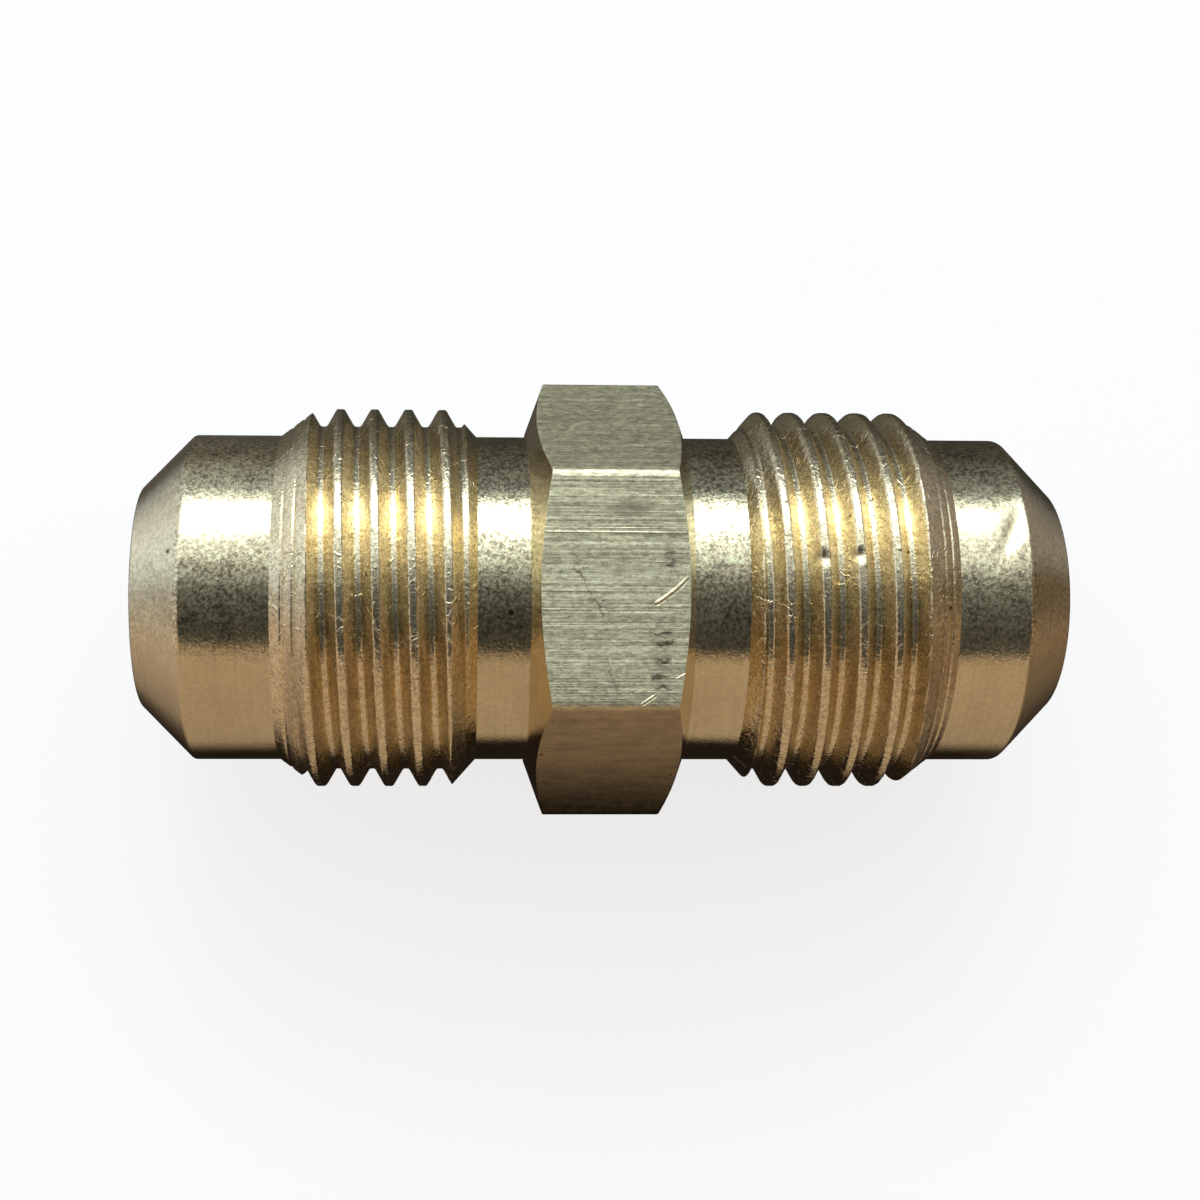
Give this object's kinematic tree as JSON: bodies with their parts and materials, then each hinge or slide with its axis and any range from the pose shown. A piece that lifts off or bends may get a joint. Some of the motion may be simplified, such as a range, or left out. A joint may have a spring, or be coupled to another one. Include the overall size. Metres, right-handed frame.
{
  "type": "flare union fitting",
  "caption": "Straight brass flare union with a hex body, male threads and 45 degree seats on both ends, joining two flared tubes end to end.",
  "frame": {"origin": "on the axis of the waterway, at mid-length", "axes": "+X along the waterway towards the end with the longer thread, +Z out of one hex flat, Y across two opposite corners of the hex"},
  "size_m": [0.038, 0.0184, 0.0158],
  "materials": {
    "drawn_hex": "cold-drawn bar surface, brushed along the axis, with fine scratches",
    "turned_body": "bright turned, with fine circumferential tool marks",
    "cut_thread": "cut thread, bright flanks with tool marks and small nicks on the crests"
  },
  "bodies": {
    "root": {"hex_section": "drawn_hex", "left_neck": "turned_body", "right_neck": "turned_body", "left_thread": "cut_thread", "right_thread": "cut_thread", "left_nose": "turned_body", "right_nose": "turned_body"}
  },
  "joints": []
}
